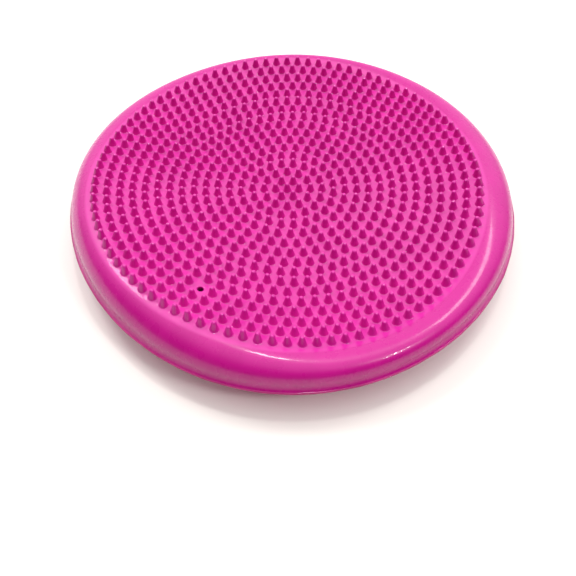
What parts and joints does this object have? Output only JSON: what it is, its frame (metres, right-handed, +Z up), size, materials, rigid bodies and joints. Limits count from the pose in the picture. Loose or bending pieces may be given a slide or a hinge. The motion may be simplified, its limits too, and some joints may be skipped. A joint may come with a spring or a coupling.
{
  "type": "wobble cushion",
  "caption": "Inflatable round balance cushion with a dished, nubbed top face, a rolled rim, a weld line and a needle valve.",
  "frame": {"origin": "centre of the flat ring that stands on the floor, at floor height", "axes": "+Z up through the top face; the valve lies 120 degrees clockwise from +X, seen from above"},
  "size_m": [0.346, 0.346, 0.0506],
  "materials": {
    "moulded_pvc": "satin moulded soft PVC, magenta",
    "seam_pvc": "trimmed weld of the same magenta PVC",
    "valve_pvc": "soft PVC, hidden under the skin",
    "valve_rubber": "dull self-sealing rubber"
  },
  "bodies": {
    "base": {"lower_shell": "moulded_pvc"},
    "seam": {"seam_bead": "seam_pvc"},
    "top": {"upper_shell": "moulded_pvc", "valve_boss": "valve_pvc", "valve_plug": "valve_rubber"}
  },
  "joints": [
    {"name": "wobble_front_back", "type": "hinge", "parent": "base", "child": "seam", "pos_m": [0, 0, 0.026], "axis": [1, 0, 0], "range_deg": [-4, 4], "stiffness_Nm_per_rad": 320, "deforming": ["lower_shell"]},
    {"name": "wobble_left_right", "type": "hinge", "parent": "seam", "child": "top", "pos_m": [0, 0, 0.026], "axis": [0, 1, 0], "range_deg": [-4, 4], "stiffness_Nm_per_rad": 320, "deforming": ["upper_shell"]}
  ]
}
